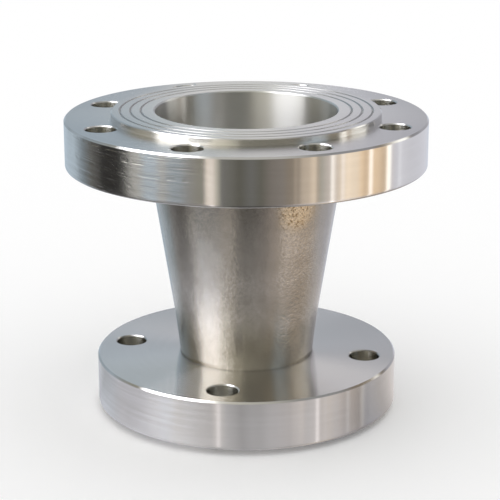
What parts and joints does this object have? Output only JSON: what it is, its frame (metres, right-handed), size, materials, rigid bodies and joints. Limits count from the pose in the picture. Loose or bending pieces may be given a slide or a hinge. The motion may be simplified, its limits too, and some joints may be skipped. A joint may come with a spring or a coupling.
{
  "type": "flanged concentric reducer",
  "caption": "Concentric pipe reducer in turned stainless steel, with a large drilled flange, a tapered neck and a small drilled flange.",
  "frame": {"origin": "centre of the small raised face, which the part stands on", "axes": "+Z along the flow axis, from the small flange up to the large flange; the large bolt pattern straddles +X and +Y"},
  "size_m": [0.225, 0.225, 0.1912],
  "materials": {
    "turned_steel": "turned and faced, satin on the neck"
  },
  "bodies": {
    "root": {"reducing_flange": "turned_steel"}
  },
  "joints": []
}
